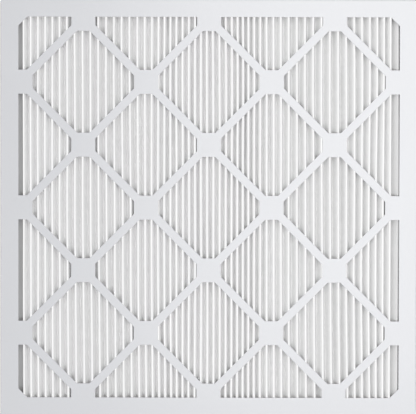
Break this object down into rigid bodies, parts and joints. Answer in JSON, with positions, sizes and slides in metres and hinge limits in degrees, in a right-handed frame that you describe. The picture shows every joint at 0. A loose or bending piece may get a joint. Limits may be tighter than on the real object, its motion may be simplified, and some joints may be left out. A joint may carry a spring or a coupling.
{
  "type": "pleated panel air filter",
  "caption": "Square panel air filter: a sheet of white pleated media held in a folded white board frame with a diamond lattice over both faces.",
  "frame": {"origin": "centre of the rear face, on the surface that the filter lies on", "axes": "+Z out of the front face, along the thickness; +X across the pleats, to the right as seen from the front; +Y along the pleats, up as seen from the front"},
  "size_m": [0.4952, 0.4952, 0.0191],
  "materials": {
    "board": "satin",
    "media": "matte",
    "glue": "satin"
  },
  "bodies": {
    "root": {"front_frame": "board", "rear_frame": "board", "pleated_media": "media", "glue_bead_top": "glue", "glue_bead_bottom": "glue", "glue_bead_left": "glue", "glue_bead_right": "glue"}
  },
  "joints": []
}
